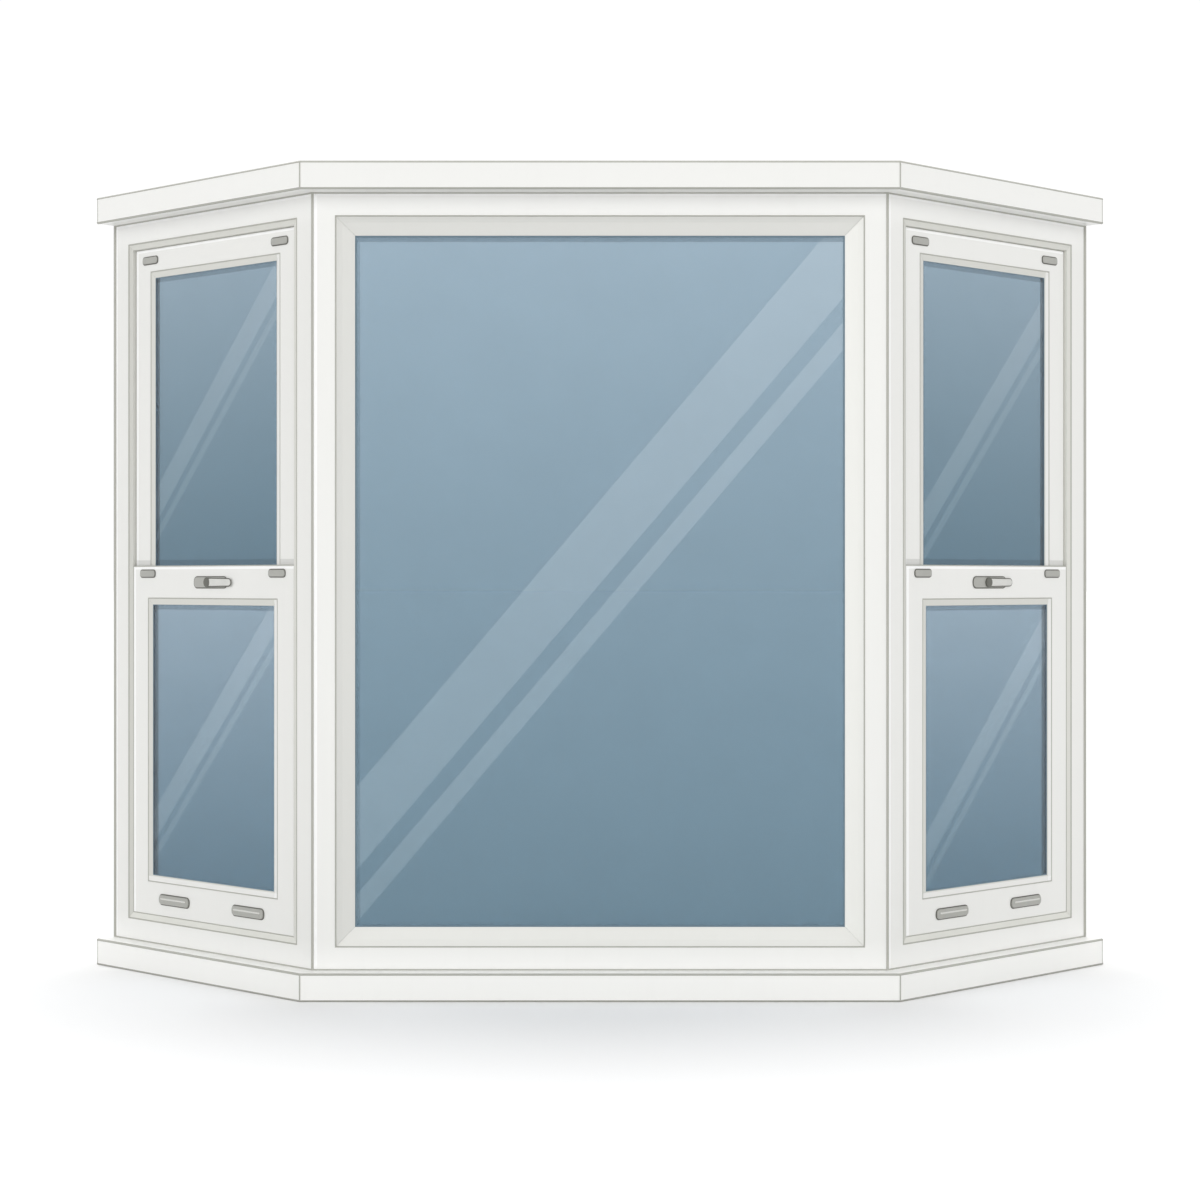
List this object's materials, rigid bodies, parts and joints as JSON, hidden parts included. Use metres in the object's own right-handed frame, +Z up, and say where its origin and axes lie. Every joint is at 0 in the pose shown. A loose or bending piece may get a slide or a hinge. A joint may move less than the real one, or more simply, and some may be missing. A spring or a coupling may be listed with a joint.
{
  "type": "three-sided bay window",
  "caption": "White three-sided bay window: fixed centre light, angled sliding sash sides, mitred head board and seat board.",
  "frame": {"origin": "underside of the seat board, on the outer plane of the wall, midway between the two sides", "axes": "+X to the right as seen from outside, +Y into the building, +Z up"},
  "size_m": [2.109, 0.6241, 1.608],
  "materials": {
    "board_white": "satin white foil over insulated board",
    "fascia_white": "satin white",
    "frame_white": "satin white, welded corners",
    "sash_white": "satin white, welded corners",
    "bead_white": "satin white",
    "liner_grey": "matt light grey",
    "gasket_grey": "matt",
    "spacer_metal": "mill, rolled",
    "tinted_glass": "grey-blue tinted float glass",
    "fitting_grey": "grey lacquered die casting",
    "sealant_grey": "matt sealant and edge strips",
    "pivot_grey": "dark grey lacquered pin cap",
    "lever_grey": "light grey lacquered die casting"
  },
  "bodies": {
    "root": {"seat_board": "board_white", "sill_fascia_left": "fascia_white", "sill_fascia_center": "fascia_white", "sill_fascia_right": "fascia_white", "head_board": "board_white", "head_fascia_left": "fascia_white", "head_fascia_center": "fascia_white", "head_fascia_right": "fascia_white", "corner_post_left": "frame_white", "corner_post_right": "frame_white", "wall_jamb_left": "frame_white", "wall_jamb_right": "frame_white", "center_frame": "frame_white", "center_glazing_beads": "bead_white", "center_glass": "tinted_glass", "center_spacer": "spacer_metal", "center_gaskets": "gasket_grey", "left_frame": "frame_white", "left_track_liners": "liner_grey", "left_upper_sash": "sash_white", "left_lower_sash": "sash_white", "left_sash_beads": "bead_white", "left_upper_glass": "tinted_glass", "left_lower_glass": "tinted_glass", "left_spacers": "spacer_metal", "left_gaskets": "gasket_grey", "left_lock_base": "fitting_grey", "left_lock_lever": "lever_grey", "left_tilt_latches": "fitting_grey", "left_finger_lifts": "fitting_grey", "right_frame": "frame_white", "right_track_liners": "liner_grey", "right_upper_sash": "sash_white", "right_lower_sash": "sash_white", "right_sash_beads": "bead_white", "right_upper_glass": "tinted_glass", "right_lower_glass": "tinted_glass", "right_spacers": "spacer_metal", "right_gaskets": "gasket_grey", "right_lock_base": "fitting_grey", "right_lock_lever": "lever_grey", "right_tilt_latches": "fitting_grey", "right_finger_lifts": "fitting_grey"}
  },
  "joints": []
}
